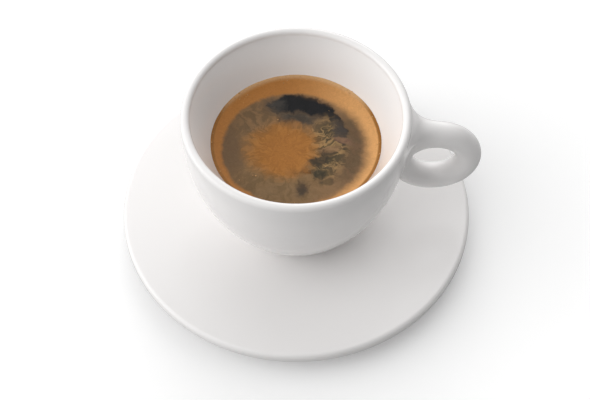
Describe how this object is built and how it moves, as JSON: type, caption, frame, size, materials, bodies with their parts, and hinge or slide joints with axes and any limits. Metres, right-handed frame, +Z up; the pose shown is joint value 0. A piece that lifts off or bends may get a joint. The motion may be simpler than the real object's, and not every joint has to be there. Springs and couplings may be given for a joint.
{
  "type": "americano in cup with saucer",
  "caption": "Black coffee with a ring of golden crema in a thick-walled white porcelain cup with a round ring handle, standing on its dished saucer.",
  "frame": {"origin": "middle of the saucer's foot ring, on the surface it stands on; the cup stands in the middle of the saucer", "axes": "+Z up along the axis that saucer, cup and coffee are turned about; +X from that axis towards the handle; -Y towards the picture's camera"},
  "size_m": [0.1471, 0.1456, 0.0753],
  "materials": {
    "glazed_porcelain": "glossy clear glaze on white porcelain",
    "black_coffee": "dark drink with a thin golden brown foam, wet gloss"
  },
  "bodies": {
    "root": {"saucer": "glazed_porcelain", "cup": "glazed_porcelain", "coffee": "black_coffee"}
  },
  "joints": []
}
